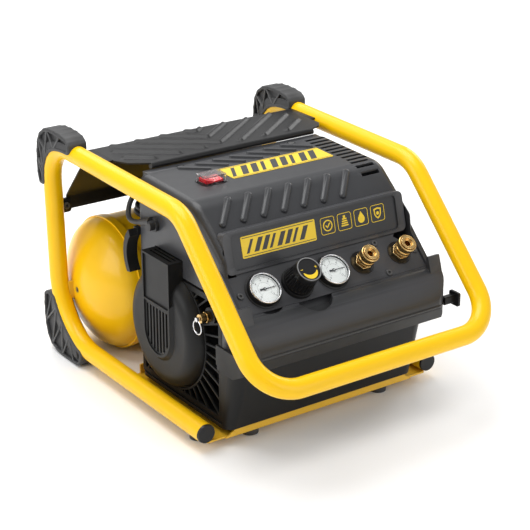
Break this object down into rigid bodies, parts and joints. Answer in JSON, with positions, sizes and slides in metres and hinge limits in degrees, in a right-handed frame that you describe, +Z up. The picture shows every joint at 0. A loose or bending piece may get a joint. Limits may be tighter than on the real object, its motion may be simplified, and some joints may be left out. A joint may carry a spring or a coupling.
{
  "type": "air compressor",
  "caption": "Portable air compressor in a bent-tube roll cage, horizontal tank behind, covered pump and motor, sloping control panel in front.",
  "frame": {"origin": "on the floor, at the middle of the machine's overall length and width", "axes": "+Z up, +Y from the control panel towards the air receiver, +X to the right seen from the control panel"},
  "size_m": [0.456, 0.6838, 0.391],
  "materials": {
    "cage_paint": "gloss powder coat",
    "tank_paint": "gloss paint",
    "guard_paint": "satin powder coat",
    "black_rubber": "matt moulded rubber",
    "charcoal_plastic": "fine moulded texture",
    "black_plastic": "fine moulded texture",
    "nameplate_plastic": "satin",
    "yellow_label": "printed film",
    "brass": "turned",
    "plated_steel": "bright plated",
    "zinc_steel": "zinc plated",
    "white_dial": "printed card",
    "needle_black": "satin",
    "clear_lens": "polished",
    "clear_boot": "soft clear silicone",
    "red_plastic": "gloss",
    "cord_rubber": "smooth rubber sheath",
    "cast_aluminium": "as cast",
    "motor_steel": "laminated steel",
    "copper": "drawn tube"
  },
  "bodies": {
    "chassis": {"roll_cage_frame": "cage_paint", "frame_end_plugs": "black_rubber", "base_tray": "tank_paint", "rubber_feet": "black_rubber", "lower_bumpers": "black_rubber", "upper_bumpers": "black_rubber", "rear_guard": "guard_paint", "guard_bolts": "zinc_steel", "air_tank": "tank_paint", "tank_end_plugs": "zinc_steel", "tank_brackets": "cage_paint", "drain_valve_body": "brass", "main_cover": "charcoal_plastic", "cover_screws": "zinc_steel", "nameplate_panel": "nameplate_plastic", "label_plates": "yellow_label", "pictogram_labels": "yellow_label", "lower_housing": "black_plastic", "front_bumper": "black_plastic", "side_grille": "black_plastic", "fan_shroud": "black_plastic", "control_panel": "nameplate_plastic", "gauge_cases": "plated_steel", "gauge_dials": "white_dial", "gauge_lenses": "clear_lens", "regulator_body": "black_plastic", "coupler_bodies": "brass", "outlet_manifold": "brass", "relief_valve_body": "brass", "switch_bezel": "black_plastic", "switch_boot": "clear_boot", "motor_stator": "motor_steel", "motor_mount": "cast_aluminium", "crankcase": "cast_aluminium", "pump_cylinder": "cast_aluminium", "cylinder_head": "cast_aluminium", "delivery_pipe": "copper", "check_valve": "brass", "pressure_switch": "black_plastic", "start_capacitor": "cast_aluminium", "cord_hooks": "black_plastic", "cord_gland": "black_rubber", "power_cord": "cord_rubber", "cord_coil": "cord_rubber", "plug_lead": "cord_rubber", "mains_plug": "cord_rubber"},
    "left_needle": {"left_gauge_needle": "needle_black"},
    "right_needle": {"right_gauge_needle": "needle_black"},
    "knob": {"regulator_knob": "black_plastic", "regulator_knob_cap": "nameplate_plastic"},
    "left_sleeve": {"left_coupler_sleeve": "brass"},
    "right_sleeve": {"right_coupler_sleeve": "brass"},
    "drain_knob": {"drain_valve_knob": "black_plastic"},
    "rocker": {"switch_rocker": "red_plastic"},
    "rotor": {"motor_rotor": "motor_steel", "cooling_fan": "black_plastic", "crank_counterweight": "motor_steel"},
    "piston": {"piston_rod": "cast_aluminium"},
    "relief_ring": {"relief_valve_ring": "plated_steel"}
  },
  "joints": [
    {"name": "left_needle_turn", "type": "hinge", "parent": "chassis", "child": "left_needle", "pos_m": [-0.121, -0.19917, 0.2453], "axis": [0, -0.6691, 0.7431], "range_deg": [-270, 0], "stiffness_Nm_per_rad": 0.0004},
    {"name": "right_needle_turn", "type": "hinge", "parent": "chassis", "child": "right_needle", "pos_m": [0.003, -0.19917, 0.2453], "axis": [0, -0.6691, 0.7431], "range_deg": [-270, 0], "stiffness_Nm_per_rad": 0.0004},
    {"name": "regulator_turn", "type": "hinge", "parent": "chassis", "child": "knob", "pos_m": [-0.061, -0.20882, 0.25302], "axis": [0, -0.6691, 0.7431], "range_deg": [-540, 540]},
    {"name": "left_sleeve_slide", "type": "slide", "parent": "chassis", "child": "left_sleeve", "axis": [0, -0.6691, 0.7431], "range_m": [-0.004, 0], "stiffness_N_per_m": 1500},
    {"name": "right_sleeve_slide", "type": "slide", "parent": "chassis", "child": "right_sleeve", "axis": [0, -0.6691, 0.7431], "range_m": [-0.004, 0], "stiffness_N_per_m": 1500},
    {"name": "drain_knob_turn", "type": "hinge", "parent": "chassis", "child": "drain_knob", "pos_m": [-0.06, 0.12889, 0.02854], "axis": [0, -0.766, -0.6428], "range_deg": [0, 540]},
    {"name": "rocker_tilt", "type": "hinge", "parent": "chassis", "child": "rocker", "pos_m": [-0.1, -0.02935, 0.35165], "axis": [0, 0.9997, 0.0253], "range_deg": [-5, 5]},
    {"name": "motor_spin", "type": "hinge", "parent": "chassis", "child": "rotor", "pos_m": [0, -0.02595, 0.1365], "axis": [1, 0, 0], "continuous": true},
    {"name": "piston_stroke", "type": "slide", "parent": "chassis", "child": "piston", "axis": [0, 0, 1], "range_m": [-0.009, 0.009]},
    {"name": "relief_pull", "type": "slide", "parent": "chassis", "child": "relief_ring", "axis": [-1, 0, 0], "range_m": [0, 0.003], "stiffness_N_per_m": 4000}
  ]
}
